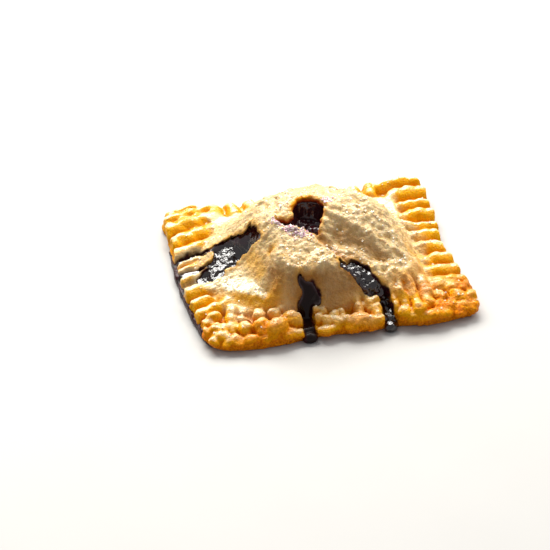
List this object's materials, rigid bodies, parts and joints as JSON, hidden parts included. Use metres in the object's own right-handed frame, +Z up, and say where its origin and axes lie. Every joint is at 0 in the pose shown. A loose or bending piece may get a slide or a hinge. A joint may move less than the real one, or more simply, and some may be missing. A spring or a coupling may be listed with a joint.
{
  "type": "berry hand pie",
  "caption": "Rectangular shortcrust turnover with fork-crimped edges and a domed top, its steam cuts and a tear showing dark berry jam that runs over the rim.",
  "frame": {"origin": "middle of the pie's bounding box, on the surface it lies on", "axes": "+X along the long side, to the right when the front edge with the two long cuts faces the viewer; +Y away from that edge; +Z up"},
  "size_m": [0.1032, 0.087, 0.03],
  "materials": {
    "pastry": "egg-washed baked shortcrust, golden and satin on the crimped edge, pale and sugary on the dome",
    "jam": "set berry jam, near black and glossy"
  },
  "bodies": {
    "root": {"crust": "pastry", "berry_filling": "jam"}
  },
  "joints": []
}
